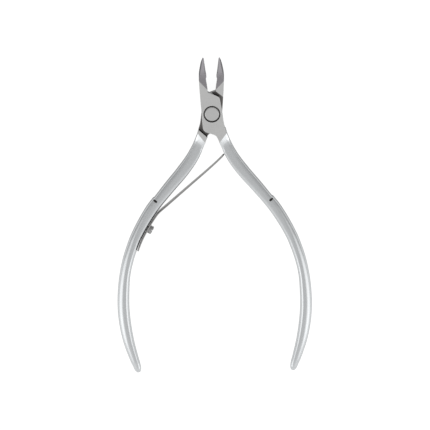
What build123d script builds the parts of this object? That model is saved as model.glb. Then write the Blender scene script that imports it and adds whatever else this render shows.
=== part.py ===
from build123d import *
import os
import math

# Cuticle nipper with a lap joint, lying flat. Millimetres.
# Frame: pivot axis along +Z through the origin, jaws towards +Y, handles towards -Y,
# z = 0 on the back face of the rear lap plate, z = LAP_T on the front face.
# The pieces are placed in the open rest position, where the leaf spring is relaxed.

# ---------------------------------------------------------------- driving dimensions
LAP_T = 5.4            # thickness over both lap plates
LAP_GAP = 0.06         # running gap between the two lap faces
HALF_OPEN = 7.45       # each lever's turn from the closed position, degrees
EDGE_GAP = 0.06        # half gap between the cutting edges when closed
GRIND_SLOPE = 19.0     # slope of the ground jaw faces, degrees
EDGE_BEVEL = 75.0      # bevel behind the cutting edge, from the mid plane, degrees

HEAD_R = 2.62          # pivot head radius
HEAD_SINK = 1.30       # depth of the head's seat below the front face
HEAD_PROUD = 0.22      # how far the head stands out of the front face
HEAD_CH = 0.30         # pivot head chamfer
CBORE_R = 3.05         # counterbore in the front plate
SHANK_R = 1.90         # pivot shank radius
SHANK_FIT = 0.03       # radial running clearance in the front plate
TAIL_R = 1.60          # threaded end in the rear plate

LEAF_T = 0.42          # leaf spring thickness
LEAF_W0 = 4.2          # leaf width at the foot
LEAF_W1 = 2.3          # leaf width at the free tip

SCREW_HEAD_R = 1.52
SCREW_HEAD_H = 1.55
SCREW_SLOT_W = 0.62
SCREW_SLOT_D = 0.85
SCREW_R = 0.85
SCREW_DEPTH = 2.3

SCARF_DROP = 0.42      # step from the lap faces down to the handle faces
SCARF_RUN = 1.9

ZM = LAP_T / 2

# Lever in the closed position, seen from the front, as (x, y).
JAW_OUTER = [(-0.42, 20.46), (-0.97, 19.58), (-1.45, 18.53), (-1.82, 17.46), (-2.17, 16.38), (-2.49, 15.30), (-2.70, 14.22),
             (-2.83, 13.35), (-2.93, 12.28), (-3.02, 11.18), (-3.12, 10.09), (-3.20, 8.99), (-3.33, 6.22)]
PLATE_LEFT = [(-3.33, 6.22), (-3.48, 3.66), (-3.62, 1.21), (-3.80, -1.25), (-3.92, -3.50), (-3.96, -4.83)]
PLATE_CORNER = [(-3.96, -4.83), (-3.80, -5.56), (-3.30, -6.13)]
PLATE_BOTTOM = [(-3.30, -6.13), (-2.42, -6.66), (-1.41, -7.12), (-0.30, -7.66), (0.30, -8.12)]
HANDLE_INNER = [(0.30, -8.12), (0.62, -8.73), (0.92, -9.70), (1.17, -10.81)]
HANDLE_OUTER = [(4.67, -9.63), (4.51, -9.12), (4.19, -7.66), (3.95, -6.03), (3.73, -4.70)]
PLATE_RIGHT = [(3.73, -4.70), (3.70, -2.83), (3.74, -0.97), (3.75, 1.25), (3.68, 3.09), (3.60, 5.30)]
PLATE_TIP = [(3.60, 5.30), (3.53, 5.62), (3.30, 5.95)]
PLATE_TOP = [(3.30, 5.95), (2.59, 6.43), (1.12, 7.31), (-0.37, 8.05)]
JAW_BASE = [(-0.37, 8.05), (-0.38, 8.62), (-0.36, 9.73), (-0.38, 10.85), (-0.41, 11.97), (-0.32, 13.06)]
EDGE_LOW_Y, EDGE_TOP_Y = 13.45, 20.38

# Shoulders that end the full-thickness jaw and handle on the half away from the lever's own plate.
JAW_SHOULDER = [(-0.37, 8.52), (-0.73, 8.27), (-1.59, 7.67), (-2.46, 7.12), (-3.60, 6.52)]
HANDLE_SHOULDER = [(4.60, -5.98), (3.57, -6.63), (2.28, -7.45), (1.18, -8.28), (0.30, -8.98)]
SCARF = [(4.55, -7.35), (1.17, -10.81)]     # end of the flat lap faces on the handle

# Handle centreline in the rest position: (length, x, y, width, depth, fullness exponent, crest shift)
HANDLE = [
    (0.0, 0.00, 0.00, 0.00, 4.56, 9.0, 0.00),
    (3.2, 5.78, -13.40, 4.04, 4.56, 6.0, 0.10),
    (6.8, 7.45, -16.50, 4.27, 4.56, 5.0, 0.20),
    (10.5, 9.58, -19.58, 4.38, 4.54, 4.4, 0.20),
    (14.4, 12.00, -22.64, 4.43, 4.50, 4.0, 0.15),
    (18.4, 14.64, -25.67, 4.39, 4.46, 3.8, 0.10),
    (22.4, 17.22, -28.73, 4.35, 4.42, 3.6, 0.10),
    (26.3, 19.70, -31.78, 4.24, 4.36, 3.4, 0.12),
    (30.1, 21.98, -34.74, 4.33, 4.32, 3.3, 0.18),
    (33.7, 23.94, -37.77, 4.28, 4.28, 3.1, 0.26),
    (37.2, 25.73, -40.82, 4.18, 4.22, 2.9, 0.36),
    (40.7, 27.33, -43.88, 4.11, 4.16, 2.7, 0.46),
    (44.1, 28.75, -47.01, 4.05, 4.10, 2.5, 0.54),
    (50.6, 30.88, -53.21, 4.01, 3.98, 2.3, 0.64),
    (56.9, 32.23, -59.35, 3.94, 3.88, 2.2, 0.68),
    (63.0, 32.81, -65.49, 4.20, 3.80, 2.2, 0.68),
    (69.2, 32.90, -71.63, 4.28, 3.72, 2.2, 0.66),
    (75.3, 32.33, -77.77, 4.24, 3.60, 2.2, 0.60),
    (81.6, 31.17, -83.91, 3.90, 3.42, 2.3, 0.50),
    (88.0, 29.37, -90.04, 3.25, 3.12, 2.4, 0.36),
    (90.4, 28.55, -92.30, 2.86, 2.90, 2.4, 0.26),
    (92.1, 28.06, -93.98, 2.42, 2.50, 2.3, 0.14),
    (93.2, 27.76, -95.08, 1.30, 1.40, 2.2, 0.05),
]
NOTCH = (26.9, 20.32, -32.20, 37.0)   # length, x, y and lean of the small notch on the outer half
NOTCH_W = 0.62

# Leaf spring in the rest position: one strip, screwed flat against the left handle, then bent away from it.
LEAF_FOOT = [(-27.44, -50.53), (-26.13, -47.03), (-24.40, -43.55), (-22.47, -40.20), (-20.56, -37.33)]
LEAF_BEND = [(-19.81, -36.40), (-18.92, -35.54)]
LEAF_ARM = [(-16.27, -33.31), (-12.93, -30.42), (-9.55, -27.52), (-6.18, -24.62), (-2.78, -21.70),
            (0.55, -18.77), (2.95, -16.50), (4.16, -15.18)]
FOOT_SCREW = (-23.59, -42.14)


def spin(p, deg):
    a = math.radians(deg)
    return (p[0] * math.cos(a) - p[1] * math.sin(a), p[0] * math.sin(a) + p[1] * math.cos(a))


def curve(points):
    return Line(points[0], points[1]) if len(points) == 2 else Spline(*[Vector(*p) for p in points])


def outline_face(*runs):
    """Closed face from consecutive point runs that share their end points."""
    edges = []
    for r in runs:
        made = curve(r)
        edges += list(made.edges())
    return Face(Wire(edges))


def slab(face, z0, z1):
    return extrude(Pos(0, 0, z0) * face, amount=z1 - z0, dir=(0, 0, 1))


# ---------------------------------------------------------------- lever, closed position
def handle_section(k, count=20):
    s, x, y, w, d, n, shift = HANDLE[k]
    x, y = spin((x, y), -HALF_OPEN)
    a = HANDLE[max(k - 1, 1)]
    b = HANDLE[min(max(k, 1) + 1, len(HANDLE) - 1)]
    a = spin(a[1:3], -HALF_OPEN)
    b = spin(b[1:3], -HALF_OPEN)
    t = Vector(b[0] - a[0], b[1] - a[1], 0).normalized()
    if k == 0:
        # the handle starts on the end plane of the lap block
        p, q = Vector(*HANDLE_INNER[-1]), Vector(*HANDLE_OUTER[0])
        x, y, w = (p.X + q.X) / 2, (p.Y + q.Y) / 2, (q - p).length
        t = Vector((q - p).Y, -(q - p).X, 0).normalized()
    across = Vector(t.Y, -t.X, 0)          # towards the inner side of the hand
    pts = []
    for i in range(count):
        q = 2 * math.pi * (i + 0.5) / count
        c, sn = math.cos(q), math.sin(q)
        # radius of the rounded section, with its crest moved towards the inner side
        r = (abs(c) ** n + abs(sn) ** n) ** (-1 / n)
        u, v = r * c, r * sn
        half = w / 2 - shift if u > 0 else w / 2 + shift
        pts.append(Vector(x, y, ZM) + across * (shift + u * half) + Vector(0, 0, v * d / 2))
    return Face(Wire(Spline(*pts, periodic=True).edges())), Vector(x, y, ZM), t, across


def make_lever():
    front = slab(outline_face(
        JAW_OUTER, PLATE_LEFT, PLATE_CORNER, PLATE_BOTTOM, HANDLE_INNER,
        [HANDLE_INNER[-1], HANDLE_OUTER[0]], HANDLE_OUTER, PLATE_RIGHT, PLATE_TIP, PLATE_TOP, JAW_BASE,
        [JAW_BASE[-1], (-EDGE_GAP, EDGE_LOW_Y)],
        [(-EDGE_GAP, EDGE_LOW_Y), (-EDGE_GAP, EDGE_TOP_Y)],
        [(-EDGE_GAP, EDGE_TOP_Y), JAW_OUTER[0]]), 0, LAP_T)
    # the half away from the plate is cleared between the two shoulders
    j0, j1, h0, h1 = JAW_SHOULDER[0], JAW_SHOULDER[-1], HANDLE_SHOULDER[0], HANDLE_SHOULDER[-1]
    clear_face = Face(Wire(
        list(Polyline((2.0, 9.6), j0).edges())
        + list(curve(JAW_SHOULDER).edges())
        + list(Polyline(j1, (-9, j1[1]), (-9, -12.0), (h1[0], -12.0), h1).edges())
        + list(curve(HANDLE_SHOULDER[::-1]).edges())
        + list(Polyline(h0, (9, h0[1]), (9, 9.6), (2.0, 9.6)).edges())))
    body = front - slab(clear_face, -1.0, ZM + LAP_GAP / 2)

    # scarf: the lap faces slope down to the thinner handle
    p, q = Vector(*SCARF[0]), Vector(*SCARF[1])
    line = (q - p).normalized()
    down = Vector(-line.Y, line.X)         # along the handle, away from the jaws
    if down.Y > 0:
        down = down * -1
    mid = (p + q) * 0.5
    for side in (1, -1):
        prof = Polyline((0, ZM + 0.001), (SCARF_RUN, ZM - SCARF_DROP), (14, ZM - SCARF_DROP), (14, ZM + 4), (0, ZM + 4), (0, ZM + 0.001))
        plane = Plane(origin=Vector(mid.X, mid.Y, ZM), x_dir=Vector(down.X, down.Y, 0), z_dir=Vector(down.X, down.Y, 0).cross(Vector(0, 0, side)))
        wedge = extrude(plane * Face(Wire(prof.edges())), amount=8, both=True)
        body = body - wedge

    # handle
    sections = [handle_section(k)[0] for k in range(len(HANDLE))]
    handle = loft(sections)
    lever = body + handle

    # ground jaw faces: a slope that starts on the line from the outer edge to the jaw's root
    a, b = Vector(-3.05, 12.85), Vector(-0.40, 9.15)
    line = (b - a).normalized()
    out = Vector(-line.Y, line.X)          # towards the tip and the cutting edge
    if out.Y < 0:
        out = out * -1
    mid = (a + b) * 0.5
    for side in (1, -1):
        xdir = Vector(line.X, line.Y, 0)
        fall = Vector(out.X, out.Y, 0) * math.cos(math.radians(GRIND_SLOPE)) + Vector(0, 0, -side * math.sin(math.radians(GRIND_SLOPE)))
        normal = xdir.cross(fall).normalized()
        if normal.Z * side < 0:
            normal = normal * -1
        origin = Vector(mid.X, mid.Y, ZM + side * ZM)
        # the grind stops short of the lap plate
        cutter = Plane(origin=origin, x_dir=xdir, z_dir=normal) * Pos(-17, 0, 5) * Box(40, 40, 10)
        lever = lever - cutter
        # edge bevel: falls to the cutting edge on the mid plane, and runs out at the edge's lower end
        ang = math.radians(EDGE_BEVEL)
        n2 = Vector(math.sin(ang), 0, side * math.cos(ang))
        cutter = Plane(origin=Vector(-EDGE_GAP, 16.0, ZM), x_dir=Vector(0, 1, 0), z_dir=n2) * Pos(1.6, 0, 5) * Box(9.6, 30, 10)
        run_out = Plane(origin=Vector(0, EDGE_LOW_Y - 0.3, ZM), x_dir=Vector(1, 0, 0), z_dir=Vector(0, -1, side * 1.1).normalized())
        cutter = cutter - run_out * Pos(0, 0, 10) * Box(60, 60, 20)
        lever = lever - cutter
        # outer bevel: starts at nothing on the outer edge and widens towards the tip
        p0, p1 = Vector(-2.88, 13.5, 2.30), Vector(-0.50, 20.7, 0.12)
        ed3 = Vector(p1.X - p0.X, p1.Y - p0.Y, side * (p1.Z - p0.Z)).normalized()
        ed = Vector(p1.X - p0.X, p1.Y - p0.Y, 0).normalized()
        o3 = Vector(ed.Y, -ed.X, 0)        # towards the cutting edge
        up = o3 * math.cos(math.radians(44)) + Vector(0, 0, side * math.sin(math.radians(44)))
        n3 = ed3.cross(up).normalized()
        if n3.Z * side < 0:
            n3 = n3 * -1
        cutter = Plane(origin=Vector(p0.X, p0.Y, ZM + side * p0.Z), x_dir=ed3, z_dir=n3) * Pos(8.0, 0, 5) * Box(17, 30, 10)
        lever = lever - cutter

    # small notch across the outer half of the handle, on both faces
    s, nx, ny, lean = NOTCH
    nx, ny = spin((nx, ny), -HALF_OPEN)
    lean_c = lean - HALF_OPEN
    t = Vector(math.sin(math.radians(lean_c)), -math.cos(math.radians(lean_c)), 0)
    across = Vector(t.Y, -t.X, 0)
    for side in (1, -1):
        centre = Vector(nx, ny, ZM + side * 2.10) - across * 1.45
        wedge = Plane(origin=centre, x_dir=t, z_dir=Vector(0, 0, 1)) * Rot(0, 45, 0) * Box(NOTCH_W, 3.0, NOTCH_W)
        lever = lever - wedge
    return lever


lever = make_lever()

# ---------------------------------------------------------------- front lever
front_lever = lever
front_lever = front_lever - Pos(0, 0, LAP_T - HEAD_SINK - 0.05 + 2) * Cylinder(CBORE_R, 4)
front_lever = front_lever - Cylinder(SHANK_R + SHANK_FIT, 20)
front_lever = Rot(0, 0, HALF_OPEN) * front_lever

# ---------------------------------------------------------------- rear lever: the same form turned over
flip = Pos(0, 0, LAP_T) * Rot(0, 180, 0)
rear_lever = flip * lever
rear_lever = rear_lever - Cylinder(TAIL_R, 20)
rear_lever = Rot(0, 0, -HALF_OPEN) * rear_lever

# ---------------------------------------------------------------- pivot screw
HEAD_H = HEAD_SINK + HEAD_PROUD
pivot_screw = Pos(0, 0, LAP_T + HEAD_PROUD - HEAD_H / 2) * Cylinder(HEAD_R, HEAD_H)
pivot_screw = chamfer(pivot_screw.faces().sort_by(Axis.Z)[-1].edges(), length=HEAD_CH)
z_low = ZM - LAP_GAP / 2
pivot_screw = pivot_screw + Pos(0, 0, (LAP_T - HEAD_SINK + z_low) / 2) * Cylinder(SHANK_R, LAP_T - HEAD_SINK - z_low)
pivot_screw = pivot_screw + Pos(0, 0, z_low / 2) * Cylinder(TAIL_R, z_low)

# ---------------------------------------------------------------- leaf spring
def offset_line(points, d):
    out = []
    for i, p in enumerate(points):
        a = points[max(i - 1, 0)]
        b = points[min(i + 1, len(points) - 1)]
        tx, ty = b[0] - a[0], b[1] - a[1]
        m = math.hypot(tx, ty)
        out.append((p[0] - ty / m * d, p[1] + tx / m * d))
    return out


def strip(points, half):
    left = offset_line(points, half)
    right = offset_line(points, -half)[::-1]
    return Face(Wire(list(curve(left).edges()) + list(Line(left[-1], right[0]).edges())
                     + list(curve(right).edges()) + list(Line(right[-1], left[0]).edges())))


h = LEAF_T / 2
leaf_line = LEAF_FOOT + LEAF_BEND + LEAF_ARM
leaf = slab(strip(leaf_line, h), ZM - LEAF_W0 / 2, ZM + LEAF_W0 / 2)
# the arm narrows towards its free tip
root, tip = Vector(*LEAF_BEND[0]), Vector(*LEAF_ARM[-1])
along = (tip - root).normalized()
reach = (tip - root).length
for side in (1, -1):
    w0, w1 = LEAF_W0 / 2, LEAF_W1 / 2
    slope = math.atan((w0 - w1) / reach)
    d = Vector(along.X, along.Y, 0) * math.cos(slope) + Vector(0, 0, -side * math.sin(slope))
    n = Vector(along.Y, -along.X, 0).cross(d)
    if n.Z * side < 0:
        n = n * -1
    leaf = leaf - Plane(origin=Vector(root.X, root.Y, ZM + side * w0), x_dir=d, z_dir=n.normalized()) * Pos(30, 0, 3) * Box(60, 60, 6)
sd = Vector(LEAF_FOOT[3][0] - LEAF_FOOT[2][0], LEAF_FOOT[3][1] - LEAF_FOOT[2][1], 0).normalized()
SCREW_DIR = Vector(sd.Y, -sd.X, 0)         # away from the handle
screw_plane = Plane(origin=Vector(FOOT_SCREW[0], FOOT_SCREW[1], ZM) + SCREW_DIR * (h + 0.06), x_dir=Vector(0, 0, 1), z_dir=SCREW_DIR)
leaf = leaf - screw_plane * Cylinder(SCREW_R + 0.12, 6)
leaf = max(leaf.solids(), key=lambda q: q.volume)

# ---------------------------------------------------------------- spring screw
screw = screw_plane * Pos(0, 0, SCREW_HEAD_H / 2) * Cylinder(SCREW_HEAD_R, SCREW_HEAD_H)
screw = chamfer(screw.edges().filter_by(GeomType.CIRCLE).sort_by(lambda e: (e.center() - screw_plane.origin).dot(SCREW_DIR))[-1:], length=0.18)
screw = screw - screw_plane * Pos(0, 0, SCREW_HEAD_H - SCREW_SLOT_D / 2 + 0.01) * Box(6, SCREW_SLOT_W, SCREW_SLOT_D + 0.02)
screw = screw + screw_plane * Pos(0, 0, -(LEAF_T + SCREW_DEPTH) / 2) * Cylinder(SCREW_R, LEAF_T + SCREW_DEPTH)
rear_lever = rear_lever - screw_plane * Pos(0, 0, -(LEAF_T + SCREW_DEPTH) / 2) * Cylinder(SCREW_R, LEAF_T + SCREW_DEPTH + 0.1)

NODES = {
    "front_lever": front_lever,
    "rear_lever": rear_lever,
    "pivot_screw": pivot_screw,
    "leaf_spring": leaf,
    "spring_screw": screw,
}

os.makedirs("parts", exist_ok=True)
for name, shape in NODES.items():
    solids = shape.solids() if hasattr(shape, "solids") else [shape]
    solids = [q for q in solids if q.volume > 1e-3]
    out = solids[0] if len(solids) == 1 else Compound(children=solids)
    export_step(out, "parts/" + name + ".step")
    b = out.bounding_box()
    print(name, len(solids), "solids", round(sum(q.volume for q in solids), 2), "mm3",
          [round(v, 2) for v in (b.min.X, b.min.Y, b.min.Z, b.max.X, b.max.Y, b.max.Z)])
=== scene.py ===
import math

import bmesh
import bpy
import numpy as np
from mathutils import Matrix, Vector


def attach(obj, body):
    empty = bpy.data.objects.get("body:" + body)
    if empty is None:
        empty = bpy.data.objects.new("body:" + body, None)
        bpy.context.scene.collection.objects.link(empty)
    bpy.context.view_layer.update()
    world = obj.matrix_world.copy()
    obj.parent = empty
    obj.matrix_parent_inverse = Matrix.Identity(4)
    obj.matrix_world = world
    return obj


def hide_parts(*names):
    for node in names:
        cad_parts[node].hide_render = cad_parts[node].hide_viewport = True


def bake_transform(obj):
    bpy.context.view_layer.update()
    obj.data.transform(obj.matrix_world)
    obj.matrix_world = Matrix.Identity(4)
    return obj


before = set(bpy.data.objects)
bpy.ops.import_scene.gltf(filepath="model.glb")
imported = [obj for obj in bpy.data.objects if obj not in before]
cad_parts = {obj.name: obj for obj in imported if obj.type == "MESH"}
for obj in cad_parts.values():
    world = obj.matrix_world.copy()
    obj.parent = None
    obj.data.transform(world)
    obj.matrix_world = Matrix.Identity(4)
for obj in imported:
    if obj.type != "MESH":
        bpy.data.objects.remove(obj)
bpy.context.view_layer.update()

MM = 0.001

# ------------------------------------------------------------------ sizes shared with the CAD model, mm
T = 5.4
ZM = T / 2
GAP = 0.03
HALF_OPEN = 7.45
CBORE_R, SHANK_R, TAIL_R = 3.05, 1.93, 1.60
HEAD_R, HEAD_SINK, HEAD_PROUD, HEAD_CH = 2.62, 1.30, 0.22, 0.30
SCARF_DROP, SCARF_RUN = 0.42, 1.9
LEAF_T, LEAF_W0, LEAF_W1 = 0.42, 4.2, 2.3

# Lever in the closed position: (left x, left y, right x, right y) of each rung, from the jaw tip down.
JAW = [
    (-0.42, 20.44, -0.07, 20.38), (-0.70, 20.02, -0.06, 20.02), (-0.97, 19.56, -0.06, 19.56), (-1.45, 18.53, -0.06, 18.50),
    (-1.82, 17.46, -0.06, 17.40), (-2.17, 16.38, -0.06, 16.30), (-2.49, 15.30, -0.06, 15.25), (-2.70, 14.22, -0.06, 14.30),
    (-2.80, 13.55, -0.06, 13.50), (-2.86, 13.05, -0.31, 13.10), (-2.93, 12.28, -0.40, 12.30), (-3.02, 11.20, -0.40, 11.40),
    (-3.09, 10.30, -0.37, 10.60), (-3.16, 9.40, -0.36, 9.90), (-3.23, 8.30, -0.36, 9.20), (-3.31, 6.67, -0.37, 8.52),
]
PLATE = [
    (-3.33, 6.50, -0.37, 8.20), (-3.34, 6.30, -0.30, 8.01), (-3.36, 6.10, 0.30, 7.72), (-3.37, 5.90, 1.12, 7.31),
    (-3.39, 5.65, 1.90, 6.86), (-3.41, 5.35, 2.59, 6.43), (-3.43, 5.05, 3.10, 6.09), (-3.45, 4.75, 3.42, 5.80),
    (-3.47, 4.40, 3.56, 5.45), (-3.49, 4.00, 3.62, 4.95), (-3.52, 3.20, 3.66, 3.60), (-3.60, 1.60, 3.74, 1.90),
    (-3.68, 0.20, 3.75, 0.40), (-3.79, -1.10, 3.74, -0.95), (-3.87, -2.50, 3.71, -2.20), (-3.93, -3.70, 3.71, -3.50),
    (-3.96, -4.65, 3.74, -4.70), (-3.90, -5.15, 3.76, -4.90), (-3.72, -5.68, 3.78, -5.05), (-3.30, -6.13, 3.80, -5.18),
    (-2.42, -6.66, 3.83, -5.35), (-1.41, -7.12, 3.86, -5.52), (-0.75, -7.43, 3.88, -5.68), (-0.20, -7.72, 3.91, -5.85),
    (0.12, -7.95, 3.93, -5.98), (0.36, -8.22, 3.96, -6.12), (0.62, -8.73, 4.00, -6.36),
]
ROOT = [
    (0.75, -9.10, 4.05, -6.70), (0.92, -9.70, 4.12, -7.10), (1.05, -10.25, 4.17, -7.40), (1.17, -10.81, 4.21, -7.71),
    (1.36, -11.60, 4.55, -9.20), (1.58, -12.50, 4.95, -10.60), (1.88, -13.50, 5.40, -12.00),
]
# Handle centreline in the rest position: (length, x, y, width, depth, fullness, crest shift to the inner side)
HANDLE = [
    (3.2, 5.78, -13.40, 4.04, 4.56, 6.0, 0.10),
    (6.8, 7.45, -16.50, 4.27, 4.56, 5.0, 0.20),
    (10.5, 9.58, -19.58, 4.38, 4.54, 4.4, 0.20),
    (14.4, 12.00, -22.64, 4.43, 4.50, 4.0, 0.15),
    (18.4, 14.64, -25.67, 4.39, 4.46, 3.8, 0.10),
    (22.4, 17.22, -28.73, 4.35, 4.42, 3.6, 0.10),
    (26.3, 19.70, -31.78, 4.24, 4.36, 3.4, 0.12),
    (30.1, 21.98, -34.74, 4.33, 4.32, 3.3, 0.18),
    (33.7, 23.94, -37.77, 4.28, 4.28, 3.1, 0.26),
    (37.2, 25.73, -40.82, 4.18, 4.22, 2.9, 0.36),
    (40.7, 27.33, -43.88, 4.11, 4.16, 2.7, 0.46),
    (44.1, 28.75, -47.01, 4.05, 4.10, 2.5, 0.54),
    (50.6, 30.88, -53.21, 4.01, 3.98, 2.3, 0.64),
    (56.9, 32.23, -59.35, 3.94, 3.88, 2.2, 0.68),
    (63.0, 32.81, -65.49, 4.20, 3.80, 2.2, 0.68),
    (69.2, 32.90, -71.63, 4.28, 3.72, 2.2, 0.66),
    (75.3, 32.33, -77.77, 4.24, 3.60, 2.2, 0.60),
    (81.6, 31.17, -83.91, 3.90, 3.42, 2.3, 0.50),
    (88.0, 29.37, -90.04, 3.25, 3.12, 2.4, 0.36),
    (90.4, 28.55, -92.30, 2.86, 2.90, 2.4, 0.26),
    (92.1, 28.06, -93.98, 2.42, 2.50, 2.3, 0.14),
    (93.2, 27.76, -95.08, 1.30, 1.40, 2.2, 0.05),
]
NOTCH = (26.9, 20.32, -32.20, 37.0)
NOTCH_W = 0.62
I_JS = len(JAW) - 1                     # jaw shoulder rung
I_HS = len(JAW) + len(PLATE) - 1        # handle shoulder rung
I_SC = I_HS + 4                         # end of the flat lap face
I_HE = len(JAW) + len(PLATE) + len(ROOT)  # first full handle section
# material indices of a lever
M_LAP, M_JAW, M_HANDLE, M_RECESS, M_SIDE, M_DARK, M_BEVEL, M_RING = range(8)


def spin(x, y, deg):
    a = math.radians(deg)
    return x * math.cos(a) - y * math.sin(a), x * math.sin(a) + y * math.cos(a)


def control_rungs():
    rows = [list(r) + [4.4, 6.0, 0.1, -1.0] for r in JAW + PLATE + ROOT]
    closed = [spin(h[1], h[2], -HALF_OPEN) for h in HANDLE]
    for k, h in enumerate(HANDLE):
        a = closed[k - 1] if k else tuple((ROOT[-1][i] + ROOT[-1][i + 2]) / 2 for i in (0, 1))
        b = closed[min(k + 1, len(closed) - 1)]
        tx, ty = b[0] - a[0], b[1] - a[1]
        m = math.hypot(tx, ty)
        tx, ty = tx / m, ty / m
        ox, oy = -ty, tx                # outward
        x, y = closed[k]
        w = h[3] / 2 - 0.02
        rows.append([x - ox * w, y - oy * w, x + ox * w, y + oy * w, h[4], h[5], h[6], h[0]])
    n0 = len(JAW) + len(PLATE)
    for i, r in enumerate(rows[n0 - 1:n0 + len(ROOT)]):
        t = i / len(ROOT)
        r[4], r[5], r[6], r[7] = 4.56, 9.0 - 3.0 * t, 0.10 * t, -7.0 + 10.0 * t
    return np.array(rows)


ROWS = control_rungs()


def at(q):
    """Catmull-Rom value of every rung column at float index q."""
    i = int(min(max(math.floor(q), 0), len(ROWS) - 2))
    t = q - i
    p1, p2 = ROWS[i], ROWS[i + 1]
    p0 = ROWS[i - 1] if i > 0 else 2 * p1 - p2
    p3 = ROWS[i + 2] if i + 2 < len(ROWS) else 2 * p2 - p1
    return 0.5 * (2 * p1 + (p2 - p0) * t + (2 * p0 - 5 * p1 + 4 * p2 - p3) * t * t + (3 * p1 - p0 - 3 * p2 + p3) * t ** 3)


def smax(a, b, k):
    d = np.maximum(k - np.abs(a - b), 0) / k
    return np.maximum(a, b) + d * d * k / 4


def smin(a, b, k):
    return -smax(-a, -b, k)


def scarf_fall(x, y):
    """Drop of the faces below the lap faces over the plan point (x, y)."""
    d = (x - 1.17) * 0.715 - (y + 10.81) * 0.699
    return SCARF_DROP * np.clip(d / SCARF_RUN, 0, 1), d


NT = 34                                  # points over the top of a section
PHI = np.pi - (np.arange(NT) + 1) * np.pi / (NT + 1)
U = np.cos(PHI)
Z0 = ZM + GAP + 0.05


def head_loop(q, half=False, lift=0.0):
    """Section of the head: flat or ground faces with small rounded edges."""
    r = at(q)
    L, R = r[0:2], r[2:4]
    width = float(np.hypot(*(R - L)))
    f = (1 + U) / 2
    p = L[None] + (R - L)[None] * f[:, None]
    h = np.full(NT, ZM)
    if q > I_SC:
        h = h - scarf_fall(p[:, 0], p[:, 1])[0]
    edge = min(0.09, 0.035 * width)
    pts_top = np.column_stack([p, ZM + h])
    u = (R - L) / width
    for i, a in enumerate((0.0, 35.0, 65.0)):
        c, s = 1 - math.cos(math.radians(a)), 1 - math.sin(math.radians(a))
        pts_top[i] = [*(L + u * edge * c), ZM + h[0] - edge * s]
        pts_top[NT - 1 - i] = [*(R - u * edge * c), ZM + h[-1] - edge * s]
    zl, zr = (Z0, Z0) if q > 7.6 else (ZM, ZM)
    if half:
        zb = np.full(NT, ZM + GAP)
        pts_bot = np.column_stack([p[::-1], zb])
        for i, a in enumerate((0.0, 35.0, 65.0)):
            c, s = 1 - math.cos(math.radians(a)), 1 - math.sin(math.radians(a))
            pts_bot[i] = [*(R - u * 0.05 * c), ZM + GAP + 0.05 * s]
            pts_bot[NT - 1 - i] = [*(L + u * 0.05 * c), ZM + GAP + 0.05 * s]
    else:
        pts_bot = pts_top[::-1].copy()
        pts_bot[:, 2] = T - pts_bot[:, 2] + lift
    return np.vstack([pts_top, [[*R, zr]], pts_bot, [[*L, zl]]])


def bar_loop(q):
    """Rounded section of the handle: (inner side left, outer side right)."""
    r = at(q)
    L, R, depth, n, shift = r[0:2], r[2:4], r[4], r[5], r[6]
    w = float(np.hypot(*(R - L))) / 2
    c0 = (L + R) / 2
    u = (R - L) / (2 * w)
    ang = np.concatenate([PHI, [0.0], -PHI[::-1], [-np.pi]])
    c, s = np.cos(ang), np.sin(ang)
    e = 2 / n
    cx = np.sign(c) * np.abs(c) ** e
    sz = np.sign(s) * np.abs(s) ** e
    shift = min(shift, 0.6 * w)
    lat = np.where(cx < 0, -shift + cx * (w - shift), -shift + cx * (w + shift))
    return np.column_stack([c0[None] + u[None] * lat[:, None], ZM + sz * depth / 2])


def bend01(t):
    t = min(max(t, 0), 1)
    return t * t * (3 - 2 * t)


def lever_loop(q, **kw):
    if q <= I_SC:
        return head_loop(q, **kw)
    b = bend01((q - I_SC) / (I_HE + 0.5 - I_SC))
    bar = bar_loop(q)
    if b >= 1:
        loop = bar
    else:
        head = head_loop(q, **kw)
        loop = head * (1 - b) + bar * b
    return loop


def notch(loop, q):
    """Slight step in the outline: the outer side above the notch is ground back a little."""
    r = at(q)
    s = r[7]
    if not 10 < s < 30:
        return loop
    L, R = r[0:2], r[2:4]
    w = float(np.hypot(*(R - L))) / 2
    u = (R - L) / (2 * w)
    lat = (loop[:, :2] - (L + R)[None] / 2) @ u / w
    loop = loop.copy()
    d = s - (27.3 - 0.60 * np.clip(lat, 0, 1))
    back = np.clip(-d / 0.25, 0, 1) * np.clip((s - 12.0) / 12.0, 0, 1) * 0.24
    loop[:, :2] -= u[None] * (back * np.clip((lat - 0.3) / 0.7, 0, 1))[:, None]
    return loop


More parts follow.
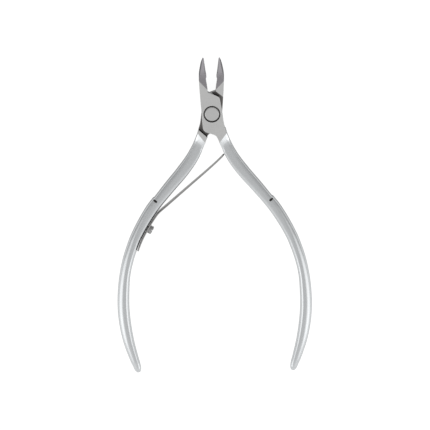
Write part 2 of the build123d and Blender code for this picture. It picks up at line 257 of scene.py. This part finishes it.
def stations():
    """[(q, kind)] where kind is full, half or lift (the small chamfer at a shoulder)."""
    out = []

    def run(a, b, step, kind, first=True):
        q = a
        pts = [a]
        while q < b - 1e-9:
            seg = float(np.linalg.norm(at(min(q + 0.05, b))[[0, 1]] - at(q)[[0, 1]]) + np.linalg.norm(at(min(q + 0.05, b))[[2, 3]] - at(q)[[2, 3]])) / 2
            q = min(b, q + 0.05 * step / max(seg, 1e-6), math.floor(q + 1e-9) + 1)
            pts.append(q)
        out.extend((p, kind) for p in (pts if first else pts[1:]))

    run(0, 8.0, 0.35, "full")
    run(8.0, I_JS - 0.12, 0.35, "full", first=False)
    out.append((I_JS - 0.06, "full"))
    out.append((I_JS, "lift"))
    out.append((I_JS, "half"))
    run(I_JS, I_HS, 0.28, "half", first=False)
    out.append((I_HS, "lift"))
    out.append((I_HS + 0.12, "full"))
    run(I_HS + 0.12, I_SC, 0.28, "full", first=False)
    run(I_SC, I_SC + 0.12, 0.15, "full", first=False)
    q_n = [k for k in range(len(ROWS)) if ROWS[k][7] > 26.0][0]
    # q range of the notch
    def q_of(s):
        lo, hi = float(I_HE), float(len(ROWS) - 1)
        for _ in range(50):
            mid = (lo + hi) / 2
            if at(mid)[7] < s:
                lo = mid
            else:
                hi = mid
        return lo
    a, b = q_of(26.3), q_of(27.7)
    run(I_SC + 0.12, a, 0.55, "full", first=False)
    run(a, b, 0.12, "full", first=False)
    run(b, len(ROWS) - 4, 0.6, "full", first=False)
    run(len(ROWS) - 4, len(ROWS) - 1, 0.22, "full", first=False)
    return out


def lever_mesh(name):
    """One lever in the closed position, seen from the front: left jaw, front plate, right handle."""
    st = stations()
    loops = []
    for q, kind in st:
        if kind == "lift":
            loop = lever_loop(q, lift=0.07)
        elif kind == "half":
            loop = lever_loop(q, half=True)
        else:
            loop = lever_loop(q)
        loops.append(notch(loop, q))
    M = loops[0].shape[0]
    verts = np.vstack(loops)
    faces, mats = [], []
    for j in range(len(loops) - 1):
        q = (st[j][0] + st[j + 1][0]) / 2
        half = st[j][1] == "half" and st[j + 1][1] == "half"
        wall = (st[j][1] == "half") != (st[j + 1][1] == "half")
        for k in range(M):
            a, b = j * M + k, j * M + (k + 1) % M
            c, d = (j + 1) * M + (k + 1) % M, (j + 1) * M + k
            faces.append((a, d, c, b))
            top = k < NT - 1
            bottom = NT + 1 <= k < 2 * NT
            # Shoulder walls take the shadow-gap steel; recess floors and head side faces take darker steels: painted
            # shade.
            if wall and NT <= k <= 2 * NT + 1:
                m = M_DARK
            elif half and bottom:
                m = M_RECESS
            elif q < I_SC and (top or bottom):
                m = M_LAP
            elif q < I_SC:
                m = M_SIDE
            else:
                m = M_HANDLE
            mats.append(m)
    # end caps as fans
    verts = verts.tolist()
    for j, rev in ((0, False), (len(loops) - 1, True)):
        ring = [j * M + k for k in range(M)]
        c = np.mean([verts[i] for i in ring], axis=0)
        if rev:
            c = c + np.array([-0.02, -0.08, 0.0])
        verts.append(c.tolist())
        ci = len(verts) - 1
        for k in range(M):
            a, b = ring[k], ring[(k + 1) % M]
            faces.append((ci, b, a) if rev else (ci, a, b))
            mats.append(M_HANDLE if rev else M_JAW)
    verts = [tuple(x * MM for x in v) for v in verts]
    me = bpy.data.meshes.new(name)
    me.from_pydata(verts, [], faces)
    me.polygons.foreach_set("material_index", mats)
    bm = bmesh.new()
    bm.from_mesh(me)
    bmesh.ops.remove_doubles(bm, verts=bm.verts, dist=2e-6)
    bmesh.ops.dissolve_degenerate(bm, edges=bm.edges, dist=1e-7)
    bmesh.ops.recalc_face_normals(bm, faces=bm.faces)
    bm.to_mesh(me)
    bm.free()
    return me


def lathe(name, profile, seg=96, mat=0):
    """Solid of revolution about Z from (r, z) points, bottom to top."""
    verts, faces = [], []
    for r, z in profile:
        for k in range(seg):
            a = 2 * math.pi * k / seg
            verts.append((r * math.cos(a) * MM, r * math.sin(a) * MM, z * MM))
    for j in range(len(profile) - 1):
        for k in range(seg):
            a, b = j * seg + k, j * seg + (k + 1) % seg
            faces.append((a, b, b + seg, a + seg))
    verts.append((0, 0, profile[0][1] * MM))
    verts.append((0, 0, profile[-1][1] * MM))
    lo, hi = len(verts) - 2, len(verts) - 1
    top = (len(profile) - 1) * seg
    for k in range(seg):
        faces.append((lo, (k + 1) % seg, k))
        faces.append((hi, top + k, top + (k + 1) % seg))
    me = bpy.data.meshes.new(name)
    me.from_pydata(verts, [], faces)
    bm = bmesh.new()
    bm.from_mesh(me)
    bmesh.ops.remove_doubles(bm, verts=bm.verts, dist=1e-7)
    bmesh.ops.recalc_face_normals(bm, faces=bm.faces)
    for f in bm.faces:
        f.material_index = mat
    bm.to_mesh(me)
    bm.free()
    return me


def add(name, me):
    o = bpy.data.objects.new(name, me)
    bpy.context.scene.collection.objects.link(o)
    return o


def cut(obj, *cutters):
    """Boolean difference, applied."""
    for c in cutters:
        m = obj.modifiers.new("cut", "BOOLEAN")
        m.operation = "DIFFERENCE"
        m.solver = "EXACT"
        m.object = c
        dg = bpy.context.evaluated_depsgraph_get()
        me = bpy.data.meshes.new_from_object(obj.evaluated_get(dg))
        obj.modifiers.clear()
        old = obj.data
        obj.data = me
        bpy.data.meshes.remove(old)
        cm = c.data
        bpy.data.objects.remove(c)
        bpy.data.meshes.remove(cm)


def smooth(obj, deg, fine=None, fine_y=None):
    """Smooth shading; edges over deg stay sharp, and over fine degrees where y is above fine_y (mm)."""
    me = obj.data
    me.shade_smooth()
    me.set_sharp_from_angle(angle=math.radians(deg))
    if fine is None:
        return
    bm = bmesh.new()
    bm.from_mesh(me)
    lim = math.radians(fine)
    for e in bm.edges:
        if len(e.link_faces) != 2:
            continue
        a, b = e.link_faces
        if e.calc_face_angle(0.0) > lim and (e.verts[0].co.y > fine_y * MM or a.material_index != b.material_index):
            e.smooth = False
    bm.to_mesh(me)
    bm.free()


def plane_box(name, origin, xdir, zdir, size, offset=(0, 0), mat=0, keep=None):
    """Box standing on the plane (origin, xdir, zdir); keep=(point, normal) drops the part beyond that plane."""
    z = Vector(zdir).normalized()
    x = Vector(xdir)
    x = (x - z * x.dot(z)).normalized()
    y = z.cross(x)
    M = Matrix.Translation(Vector(origin) * MM) @ Matrix((
        (x.x, y.x, z.x, 0), (x.y, y.y, z.y, 0), (x.z, y.z, z.z, 0), (0, 0, 0, 1)))
    bm = bmesh.new()
    bmesh.ops.create_cube(bm, size=1.0)
    for v in bm.verts:
        v.co = M @ (Vector((v.co.x * size[0] + offset[0], v.co.y * size[1] + offset[1], (v.co.z + 0.5) * size[2])) * MM)
    if keep is not None:
        r = bmesh.ops.bisect_plane(bm, geom=bm.verts[:] + bm.edges[:] + bm.faces[:], plane_co=Vector(keep[0]) * MM,
                                   plane_no=Vector(keep[1]).normalized(), clear_outer=True)
        edges = [e for e in r["geom_cut"] if isinstance(e, bmesh.types.BMEdge)]
        bmesh.ops.holes_fill(bm, edges=edges, sides=0)
    bmesh.ops.recalc_face_normals(bm, faces=bm.faces)
    for f in bm.faces:
        f.material_index = mat
    me = bpy.data.meshes.new(name)
    bm.to_mesh(me)
    bm.free()
    return me


def jaw_cutters():
    """The ground faces, the bevel behind the cutting edge and the outer bevel, on both faces."""
    out = []
    a, b = Vector((-3.05, 12.85, 0)), Vector((-0.40, 9.15, 0))
    line = (b - a).normalized()
    fall_dir = Vector((-line.y, line.x, 0))
    if fall_dir.y < 0:
        fall_dir = -fall_dir
    mid = (a + b) * 0.5
    g = math.radians(19.0)
    for side in (1, -1):
        fall = fall_dir * math.cos(g) + Vector((0, 0, -side * math.sin(g)))
        n = line.cross(fall).normalized()
        if n.z * side < 0:
            n = -n
        # Ground faces take the jaw steel, bevels the darker bevel steel: painted shade by facet.
        out.append(plane_box("c", (mid.x, mid.y, ZM + side * ZM), line, n, (40, 40, 10), offset=(-17, 0), mat=M_JAW))
        e = math.radians(75.0)
        n2 = Vector((math.sin(e), 0, side * math.cos(e)))
        out.append(plane_box("c", (-0.06, 16.0, ZM), (0, 1, 0), n2, (9.6, 30, 10), offset=(1.6, 0), mat=M_BEVEL,
                             keep=((0, 13.15, ZM), (0, -1, side * 1.1))))
        p0, p1 = Vector((-2.88, 13.5, 2.30)), Vector((-0.50, 20.7, 0.12))
        ed3 = Vector((p1.x - p0.x, p1.y - p0.y, side * (p1.z - p0.z))).normalized()
        ed = Vector((p1.x - p0.x, p1.y - p0.y, 0)).normalized()
        o3 = Vector((ed.y, -ed.x, 0))
        up = o3 * math.cos(math.radians(44)) + Vector((0, 0, side * math.sin(math.radians(44))))
        n3 = ed3.cross(up).normalized()
        if n3.z * side < 0:
            n3 = -n3
        out.append(plane_box("c", (p0.x, p0.y, ZM + side * p0.z), ed3, n3, (17, 30, 10), offset=(8.0, 0), mat=M_BEVEL))
    return out


def notch_cutters():
    """Small V groove across the outer half of the handle, on both faces."""
    s, nx, ny, lean = NOTCH
    nx, ny = spin(nx, ny, -HALF_OPEN)
    a = math.radians(lean - HALF_OPEN)
    t = Vector((math.sin(a), -math.cos(a), 0))
    across = Vector((t.y, -t.x, 0))
    out = []
    for side in (1, -1):
        c = Vector((nx, ny, ZM + side * 2.10)) - across * 1.45
        d = (t + Vector((0, 0, 1))).normalized()
        origin = c - d * (NOTCH_W / 2)
        # The groove walls take the counterbore steel: painted shade in the groove.
        out.append(plane_box("c", origin, across, d, (3.0, NOTCH_W, NOTCH_W), mat=M_RING))
    return out


# ------------------------------------------------------------------ materials
def nodes_of(name):
    m = bpy.data.materials.new(name)
    m.use_nodes = True
    nt = m.node_tree
    nt.nodes.clear()
    out = nt.nodes.new("ShaderNodeOutputMaterial")
    bsdf = nt.nodes.new("ShaderNodeBsdfPrincipled")
    nt.links.new(bsdf.outputs[0], out.inputs[0])
    return m, nt, bsdf


def tone_math(nt, op, a, b=None, c=None, clamp=False):
    n = nt.nodes.new("ShaderNodeMath")
    n.operation = op
    n.use_clamp = clamp
    for i, v in enumerate((a, b, c)):
        if v is None:
            continue
        if isinstance(v, (int, float)):
            n.inputs[i].default_value = v
        else:
            nt.links.new(v, n.inputs[i])
    return n.outputs[0]


def ramp(nt, v, a, b, lo=0.0, hi=1.0):
    n = nt.nodes.new("ShaderNodeMapRange")
    n.interpolation_type = "SMOOTHSTEP"
    n.inputs["From Min"].default_value = a
    n.inputs["From Max"].default_value = b
    n.inputs["To Min"].default_value = lo
    n.inputs["To Max"].default_value = hi
    nt.links.new(v, n.inputs["Value"])
    return n.outputs[0]


def handle_painted_highlight_and_shade(nt, tc):
    """Painted highlight where the handle leaves the lap, painted shade on its side walls, strongest on the upper
    handle.
    """
    p = nt.nodes.new("ShaderNodeSeparateXYZ")
    nt.links.new(tc.outputs["Object"], p.inputs[0])
    nrm = nt.nodes.new("ShaderNodeSeparateXYZ")
    nt.links.new(tc.outputs["Normal"], nrm.inputs[0])
    ox, oy = spin(1.17, -10.81, HALF_OPEN)
    dx, dy = spin(0.715, -0.699, HALF_OPEN)
    ax = tone_math(nt, "ABSOLUTE", p.outputs[0])
    dist = tone_math(nt, "MULTIPLY_ADD", ax, dx, -(ox * dx + oy * dy) * MM)
    dist = tone_math(nt, "MULTIPLY_ADD", p.outputs[1], dy, dist)
    # painted highlight: base colour raised up to 1.5x just below the lap's scarf line
    painted_highlight = ramp(nt, dist, 0.5 * MM, 4.0 * MM, 0.50, 0.0)
    lx, ly = spin(0.699, 0.715, HALF_OPEN)
    lat = tone_math(nt, "MULTIPLY_ADD", ax, lx, -(ox * lx + oy * ly) * MM)
    lat = tone_math(nt, "MULTIPLY_ADD", p.outputs[1], ly, lat)
    painted_highlight = tone_math(nt, "MULTIPLY", painted_highlight, ramp(nt, lat, 0.0, 2.2 * MM, 0.25, 1.0))
    nz = tone_math(nt, "ABSOLUTE", nrm.outputs[2])
    # side-wall mask from the normal; the handle colour is darkened there as painted shade
    wall = ramp(nt, nz, 0.05, 0.62, 1.0, 0.0)
    depth = ramp(nt, p.outputs[1], -58 * MM, -36 * MM, 0.20, 0.56)
    painted_wall_shade = tone_math(nt, "MULTIPLY", wall, depth)
    top = tone_math(nt, "SUBTRACT", 1.0, wall)
    a = tone_math(nt, "MULTIPLY_ADD", painted_highlight, top, 1.0)
    return tone_math(nt, "SUBTRACT", a, painted_wall_shade)


def jaw_tip_painted_highlight(nt, tc):
    """Painted highlight: the ground jaw faces are brighter towards the tip."""
    p = nt.nodes.new("ShaderNodeSeparateXYZ")
    nt.links.new(tc.outputs["Object"], p.inputs[0])
    tip = ramp(nt, p.outputs[1], 12.5 * MM, 16.5 * MM, 0.0, 0.45)
    return tone_math(nt, "ADD", tip, 1.0)


def steel(name, base, rough, grain_axis="y", grain=900.0, grain_amt=0.03, rough_var=0.05, bump=0.04, mottle=0.04, warm=(1, 1, 1), stretch=40.0, tone=None):
    """Metal with a brushed grain, soft colour mottling, roughness variation and fine scratches."""
    m, nt, bsdf = nodes_of(name)
    N, L = nt.nodes, nt.links
    bsdf.inputs["Metallic"].default_value = 1.0
    bsdf.inputs["Specular Tint"].default_value = (0.65, 0.65, 0.65, 1.0)
    tc = N.new("ShaderNodeTexCoord")
    mp = N.new("ShaderNodeMapping")
    s = {"x": (grain / stretch, grain, grain), "y": (grain, grain / stretch, grain), "z": (grain, grain, grain / stretch)}[grain_axis]
    mp.inputs["Scale"].default_value = s
    L.new(tc.outputs["Object"], mp.inputs["Vector"])
    g = N.new("ShaderNodeTexNoise")
    g.inputs["Scale"].default_value = 6.0
    g.inputs["Detail"].default_value = 5.0
    g.inputs["Roughness"].default_value = 0.62
    L.new(mp.outputs[0], g.inputs["Vector"])
    mot = N.new("ShaderNodeTexNoise")
    mot.inputs["Scale"].default_value = 420.0
    mot.inputs["Detail"].default_value = 4.0
    L.new(tc.outputs["Object"], mot.inputs["Vector"])
    # colour
    mix = N.new("ShaderNodeMix")
    mix.data_type = "RGBA"
    lo = [c * w * (1 - grain_amt - mottle) for c, w in zip(base, warm)]
    hi = [min(1, c * w * (1 + grain_amt + mottle)) for c, w in zip(base, warm)]
    mix.inputs[6].default_value = (*lo, 1)
    mix.inputs[7].default_value = (*hi, 1)
    add1 = N.new("ShaderNodeMath")
    add1.operation = "MULTIPLY_ADD"
    add1.inputs[1].default_value = grain_amt / (grain_amt + mottle)
    mm = N.new("ShaderNodeMath")
    mm.operation = "MULTIPLY"
    mm.inputs[1].default_value = mottle / (grain_amt + mottle)
    L.new(mot.outputs["Fac"], mm.inputs[0])
    L.new(g.outputs["Fac"], add1.inputs[0])
    L.new(mm.outputs[0], add1.inputs[2])
    L.new(add1.outputs[0], mix.inputs[0])
    # tone multiplies the base colour; the handle and jaw tones paint highlight and shade into it.
    if tone is None:
        L.new(mix.outputs[2], bsdf.inputs["Base Color"])
    else:
        t = tone(nt, tc)
        tcol = N.new("ShaderNodeCombineColor")
        for i in range(3):
            L.new(t, tcol.inputs[i])
        mul = N.new("ShaderNodeMix")
        mul.data_type = "RGBA"
        mul.blend_type = "MULTIPLY"
        mul.inputs[0].default_value = 1.0
        L.new(mix.outputs[2], mul.inputs[6])
        L.new(tcol.outputs[0], mul.inputs[7])
        L.new(mul.outputs[2], bsdf.inputs["Base Color"])
    # roughness
    rr = N.new("ShaderNodeMapRange")
    rr.inputs["From Min"].default_value = 0.25
    rr.inputs["From Max"].default_value = 0.75
    rr.inputs["To Min"].default_value = max(0.02, rough - rough_var)
    rr.inputs["To Max"].default_value = rough + rough_var
    L.new(add1.outputs[0], rr.inputs["Value"])
    L.new(rr.outputs[0], bsdf.inputs["Roughness"])
    # bump
    bp = N.new("ShaderNodeBump")
    bp.inputs["Strength"].default_value = bump
    bp.inputs["Distance"].default_value = 0.00002
    L.new(g.outputs["Fac"], bp.inputs["Height"])
    L.new(bp.outputs[0], bsdf.inputs["Normal"])
    return m


lap_mat = steel("lap_ground_steel", (0.585, 0.585, 0.58), 0.36, "y", 900, 0.035, 0.05, 0.10, 0.03)
# Jaw steel is a darker copy of the lap steel: painted shade on the ground facets; its tone adds a painted highlight
# towards the tip.
jaw_painted_shade_and_highlight_mat = steel("jaw_ground_steel_painted_shade_and_highlight", (0.37, 0.355, 0.375), 0.30, "x", 1300, 0.07, 0.06, 0.22, 0.05, tone=jaw_tip_painted_highlight)
# Handle steel: its tone paints a highlight below the lap and shade on the side walls.
handle_painted_light_mat = steel("handle_satin_chrome_painted_light", (0.575, 0.59, 0.60), 0.22, "y", 700, 0.02, 0.04, 0.05, 0.025, tone=handle_painted_highlight_and_shade)
# Recess floor steel, a darker copy of the lap steel: painted shade inside the lap recess.
recess_painted_shade_mat = steel("lap_recess_painted_shade_steel", (0.19, 0.18, 0.175), 0.42, "x", 900, 0.08, 0.06, 0.2, 0.08)
# Side-wall steel, a darker copy of the lap steel: painted shade on the lever side walls.
side_painted_shade_mat = steel("lever_side_painted_shade_steel", (0.22, 0.22, 0.22), 0.34, "y", 900, 0.05, 0.05, 0.12, 0.04)
dark_mat = steel("shadow_gap_steel", (0.06, 0.056, 0.054), 0.5, "x", 900, 0.08, 0.06, 0.2, 0.08)
# Counterbore steel, a darker copy of the lever steel: painted shade in the ring round the screw head and in the handle
# notch groove.
counterbore_painted_shade_mat = steel("counterbore_painted_shade_steel", (0.15, 0.145, 0.14), 0.42, "x", 900, 0.08, 0.06, 0.2, 0.06)
# Jaw bevel steel, a darker copy of the jaw steel: painted shade on the bevel facets.
jaw_bevel_painted_shade_mat = steel("jaw_bevel_painted_shade_steel", (0.22, 0.215, 0.225), 0.30, "y", 1300, 0.06, 0.06, 0.2, 0.05)
pivot_mat = steel("pivot_ground_steel", (0.57, 0.57, 0.565), 0.33, "x", 1100, 0.04, 0.05, 0.12, 0.03)
leaf_mat = steel("spring_strip_steel", (0.38, 0.375, 0.37), 0.32, "x", 900, 0.05, 0.06, 0.15, 0.05)
screw_mat = steel("screw_turned_steel", (0.36, 0.36, 0.36), 0.32, "z", 1200, 0.06, 0.06, 0.2, 0.05)

# ------------------------------------------------------------------ levers
def make_lever(name, rear):
    o = add(name, lever_mesh(name))
    for m in (lap_mat, jaw_painted_shade_and_highlight_mat, handle_painted_light_mat, recess_painted_shade_mat, side_painted_shade_mat, dark_mat, jaw_bevel_painted_shade_mat, counterbore_painted_shade_mat):
        o.data.materials.append(m)
    cut(o, *[add("c", me) for me in jaw_cutters() + notch_cutters()])
    if rear:
        o.data.transform(Matrix.Translation((0, 0, T * MM)) @ Matrix.Rotation(math.pi, 4, "Y"))
        bore = lathe("c", [(TAIL_R + 0.09, -1.0), (TAIL_R + 0.09, 0.0), (TAIL_R + 0.01, 0.09), (TAIL_R + 0.01, 2.9)], mat=M_DARK)
        cut(o, add("c", bore))
        o.data.transform(Matrix.Rotation(math.radians(-HALF_OPEN), 4, "Z"))
    else:
        z = T - HEAD_SINK - 0.05
        # The counterbore walls take the counterbore steel: painted shade in the ring round the screw head.
        bore = lathe("c", [(SHANK_R, 2.0), (SHANK_R, z), (CBORE_R, z), (CBORE_R, T + 1.0)], mat=M_RING)
        cut(o, add("c", bore))
        o.data.transform(Matrix.Rotation(math.radians(HALF_OPEN), 4, "Z"))
    smooth(o, 24, 8, 4.0)
    return o


front = make_lever("front_lever_body", False)
rear = make_lever("rear_lever_body", True)
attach(front, "front_lever")
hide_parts("front_lever")
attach(rear, "rear_lever")
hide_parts("rear_lever")

# ------------------------------------------------------------------ pivot screw
z = T - HEAD_SINK
top = T + HEAD_PROUD
prof = [(1.50, 0.0), (1.585, 0.09), (1.585, ZM - 0.03), (1.89, ZM - 0.03), (1.89, z), (HEAD_R - 0.06, z), (HEAD_R, z + 0.06),
        (HEAD_R, top - HEAD_CH - 0.03), (HEAD_R - 0.02, top - HEAD_CH + 0.02), (HEAD_R - HEAD_CH + 0.02, top - 0.02),
        (HEAD_R - HEAD_CH - 0.03, top), (1.6, top), (0.8, top)]
pivot = add("pivot_screw_body", lathe("pivot", prof, 128))
pivot.data.materials.append(pivot_mat)
smooth(pivot, 20)
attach(pivot, "rear_lever")
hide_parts("pivot_screw")

# ------------------------------------------------------------------ leaf spring
LEAF_FOOT = [(-27.44, -50.53), (-26.13, -47.03), (-24.40, -43.55), (-22.47, -40.20), (-20.56, -37.33)]
LEAF_BEND = [(-19.81, -36.40), (-18.92, -35.54)]
LEAF_ARM = [(-16.27, -33.31), (-12.93, -30.42), (-9.55, -27.52), (-6.18, -24.62), (-2.78, -21.70),
            (0.55, -18.77), (2.95, -16.50), (4.16, -15.18)]
LEAF = LEAF_FOOT + LEAF_BEND + LEAF_ARM
FOOT_SCREW = (-23.59, -42.14)


def dense(points, step):
    P = np.array(points, float)
    out = []
    for i in range(len(P) - 1):
        p1, p2 = P[i], P[i + 1]
        p0 = P[i - 1] if i else 2 * p1 - p2
        p3 = P[i + 2] if i + 2 < len(P) else 2 * p2 - p1
        n = max(2, int(np.linalg.norm(p2 - p1) / step))
        for k in range(n):
            t = k / n
            out.append(0.5 * (2 * p1 + (p2 - p0) * t + (2 * p0 - 5 * p1 + 4 * p2 - p3) * t * t + (3 * p1 - p0 - 3 * p2 + p3) * t ** 3))
    out.append(P[-1])
    return np.array(out)


def leaf_mesh():
    c = dense(LEAF, 0.35)
    seg = np.linalg.norm(np.diff(c, axis=0), axis=1)
    s = np.concatenate([[0], np.cumsum(seg)])
    total = s[-1]
    root_s = s[np.argmin(np.linalg.norm(c - np.array(LEAF_BEND[0]), axis=1))]
    verts, faces = [], []
    # section outline (across z, through the thickness) with rounded edges
    sec = []
    for sx, sz in ((1, 1), (-1, 1), (-1, -1), (1, -1)):
        for a in (0, 30, 60, 90):
            a = math.radians(a) if sx * sz > 0 else math.radians(90 - a)
            sec.append((sx, sz, math.cos(a), math.sin(a)))
    M = len(sec)
    for i, p in enumerate(c):
        a, b = c[max(i - 1, 0)], c[min(i + 1, len(c) - 1)]
        t = (b - a) / np.linalg.norm(b - a)
        n = np.array([-t[1], t[0]])
        w = LEAF_W0 / 2 - 0.5 * (LEAF_W0 - LEAF_W1) * max(0.0, (s[i] - root_s) / (total - root_s))
        for end, rad in ((s[i], 1.9), (total - s[i], 1.1)):
            if end < rad:
                w = min(w, 0.12 + (w - 0.12) * math.sqrt(max(0, 1 - ((rad - end) / rad) ** 2)))
        h = LEAF_T / 2
        r = min(0.07, h * 0.4, w * 0.4)
        for sx, sz, ca, sa in sec:
            th = sx * (h - r + r * ca)
            zz = sz * (w - r + r * sa)
            verts.append(((p[0] + n[0] * th) * MM, (p[1] + n[1] * th) * MM, (ZM + zz) * MM))
    for i in range(len(c) - 1):
        for k in range(M):
            a, b = i * M + k, i * M + (k + 1) % M
            faces.append((a, b, b + M, a + M))
    faces.append(tuple(range(M))[::-1])
    faces.append(tuple((len(c) - 1) * M + k for k in range(M)))
    me = bpy.data.meshes.new("leaf")
    me.from_pydata(verts, [], faces)
    bm = bmesh.new()
    bm.from_mesh(me)
    bmesh.ops.recalc_face_normals(bm, faces=bm.faces)
    bm.to_mesh(me)
    bm.free()
    return me


sd = Vector((LEAF_FOOT[3][0] - LEAF_FOOT[2][0], LEAF_FOOT[3][1] - LEAF_FOOT[2][1], 0)).normalized()
SCREW_DIR = Vector((sd.y, -sd.x, 0))
screw_base = Vector((FOOT_SCREW[0], FOOT_SCREW[1], ZM)) + SCREW_DIR * (LEAF_T / 2 + 0.01)
zax = SCREW_DIR
xax = Vector((0, 0, 1))
yax = zax.cross(xax)
SCREW_M = Matrix.Translation(screw_base * MM) @ Matrix((
    (xax.x, yax.x, zax.x, 0), (xax.y, yax.y, zax.y, 0), (xax.z, yax.z, zax.z, 0), (0, 0, 0, 1)))

leaf = add("leaf_spring_strip", leaf_mesh())
leaf.data.materials.append(leaf_mat)
hole = lathe("c", [(0.93, -1.4), (0.93, 1.0)], 48)
hole.transform(SCREW_M)
cut(leaf, add("c", hole))
smooth(leaf, 30)
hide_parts("leaf_spring")
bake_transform(leaf)

# ------------------------------------------------------------------ spring screw
prof = [(0.84, -2.8), (0.84, 0.0), (1.40, 0.0), (1.50, 0.10), (1.52, 0.18), (1.52, 1.28), (1.46, 1.40), (1.30, 1.50), (0.9, 1.55), (0.4, 1.56)]
screw = add("spring_screw_body", lathe("screw", prof, 64))


def box_mesh(name, lo, hi):
    me = bpy.data.meshes.new(name)
    bm = bmesh.new()
    bmesh.ops.create_cube(bm, size=1.0)
    for v in bm.verts:
        v.co = Vector([(lo[i] + (v.co[i] + 0.5) * (hi[i] - lo[i])) * MM for i in range(3)])
    bm.to_mesh(me)
    bm.free()
    return me


cut(screw, add("c", box_mesh("c", (-3, -0.31, 0.75), (3, 0.31, 3))))
screw.data.transform(SCREW_M)
screw.data.materials.append(screw_mat)
smooth(screw, 24)
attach(screw, "rear_lever")
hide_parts("spring_screw")

# ------------------------------------------------------------------ floor
fl = bpy.data.meshes.new("floor")
s = 3.0
fl.from_pydata([(-s, -s, 0), (s, -s, 0), (s, s, 0), (-s, s, 0)], [], [(0, 1, 2, 3)])
floor = add("floor", fl)
floor.location = (0, 0, -0.00002)
m, nt, bsdf = nodes_of("floor_paper")
bsdf.inputs["Base Color"].default_value = (0.16, 0.16, 0.16, 1)
bsdf.inputs["Roughness"].default_value = 0.9
bsdf.inputs["Emission Color"].default_value = (1, 1, 1, 1)
bsdf.inputs["Emission Strength"].default_value = 0.94
nz = nt.nodes.new("ShaderNodeTexNoise")
nz.inputs["Scale"].default_value = 60.0
bp = nt.nodes.new("ShaderNodeBump")
bp.inputs["Strength"].default_value = 0.02
nt.links.new(nz.outputs["Fac"], bp.inputs["Height"])
nt.links.new(bp.outputs[0], bsdf.inputs["Normal"])
fl.materials.append(m)

# ------------------------------------------------------------------ soft studio light
world = bpy.data.worlds.new("studio")
bpy.context.scene.world = world
world.use_nodes = True
wn = world.node_tree
wn.nodes.clear()
wo = wn.nodes.new("ShaderNodeOutputWorld")
bg = wn.nodes.new("ShaderNodeBackground")
wn.links.new(bg.outputs[0], wo.inputs[0])
tc = wn.nodes.new("ShaderNodeTexCoord")
sep = wn.nodes.new("ShaderNodeSeparateXYZ")
wn.links.new(tc.outputs["Generated"], sep.inputs[0])


def wmath(op, a, b=None, c=None):
    n = wn.nodes.new("ShaderNodeMath")
    n.operation = op
    for i, v in enumerate((a, b, c)):
        if v is None:
            continue
        if isinstance(v, (int, float)):
            n.inputs[i].default_value = v
        else:
            wn.links.new(v, n.inputs[i])
    return n.outputs[0]


def wstep(v, a, b):
    n = wn.nodes.new("ShaderNodeMapRange")
    n.interpolation_type = "SMOOTHSTEP"
    n.inputs["From Min"].default_value = a
    n.inputs["From Max"].default_value = b
    wn.links.new(v, n.inputs["Value"])
    return n.outputs[0]


X, Y, Zc = sep.outputs[0], sep.outputs[1], sep.outputs[2]


def wmul(a, b):
    return wmath("MULTIPLY", a, b)


ax = wmath("ABSOLUTE", X)
ys = wmath("MINIMUM", wmath("MAXIMUM", Y, -0.5), 0.03)
# ceiling: brighter towards the handle side, darker towards the jaw side
val = wmath("MULTIPLY_ADD", ys, -0.85, 0.585)
# long side boxes, fading towards the horizon and on the jaw side
side_w = wstep(ax, 0.33, 0.56)
fade = wstep(Zc, 0.05, 0.55)
far = wmath("SUBTRACT", 1.0, wstep(Y, -0.10, 0.13))
far = wmul(far, wmath("SUBTRACT", 1.0, wstep(wmul(Y, -1.0), 0.40, 0.49)))
box = wmul(wmul(side_w, far), wmath("MULTIPLY_ADD", fade, 0.75, 0.18))
val = wmath("ADD", val, box)
comb = wn.nodes.new("ShaderNodeCombineColor")
for i in range(3):
    wn.links.new(val, comb.inputs[i])
wn.links.new(comb.outputs[0], bg.inputs["Color"])
bg.inputs["Strength"].default_value = 1.0

# ------------------------------------------------------------------ camera: from above, leaning towards the jaws
cam_d = bpy.data.cameras.new("camera")
cam_d.sensor_width = 36.0
DIST = 5.0
FRAME_M = 0.1548
cam_d.lens = 36.0 * DIST / FRAME_M
cam_d.clip_start = 0.05
cam = bpy.data.objects.new("camera", cam_d)
bpy.context.scene.collection.objects.link(cam)
cam.matrix_world = (Matrix.Translation((0.000561, -0.03704, 0.0054)) @ Matrix.Rotation(math.radians(-12.0), 4, "X")
                    @ Matrix.Rotation(math.radians(-0.85), 4, "Z") @ Matrix.Translation((0, 0, DIST)))
bpy.context.scene.camera = cam
bpy.context.scene.view_settings.view_transform = "Standard"
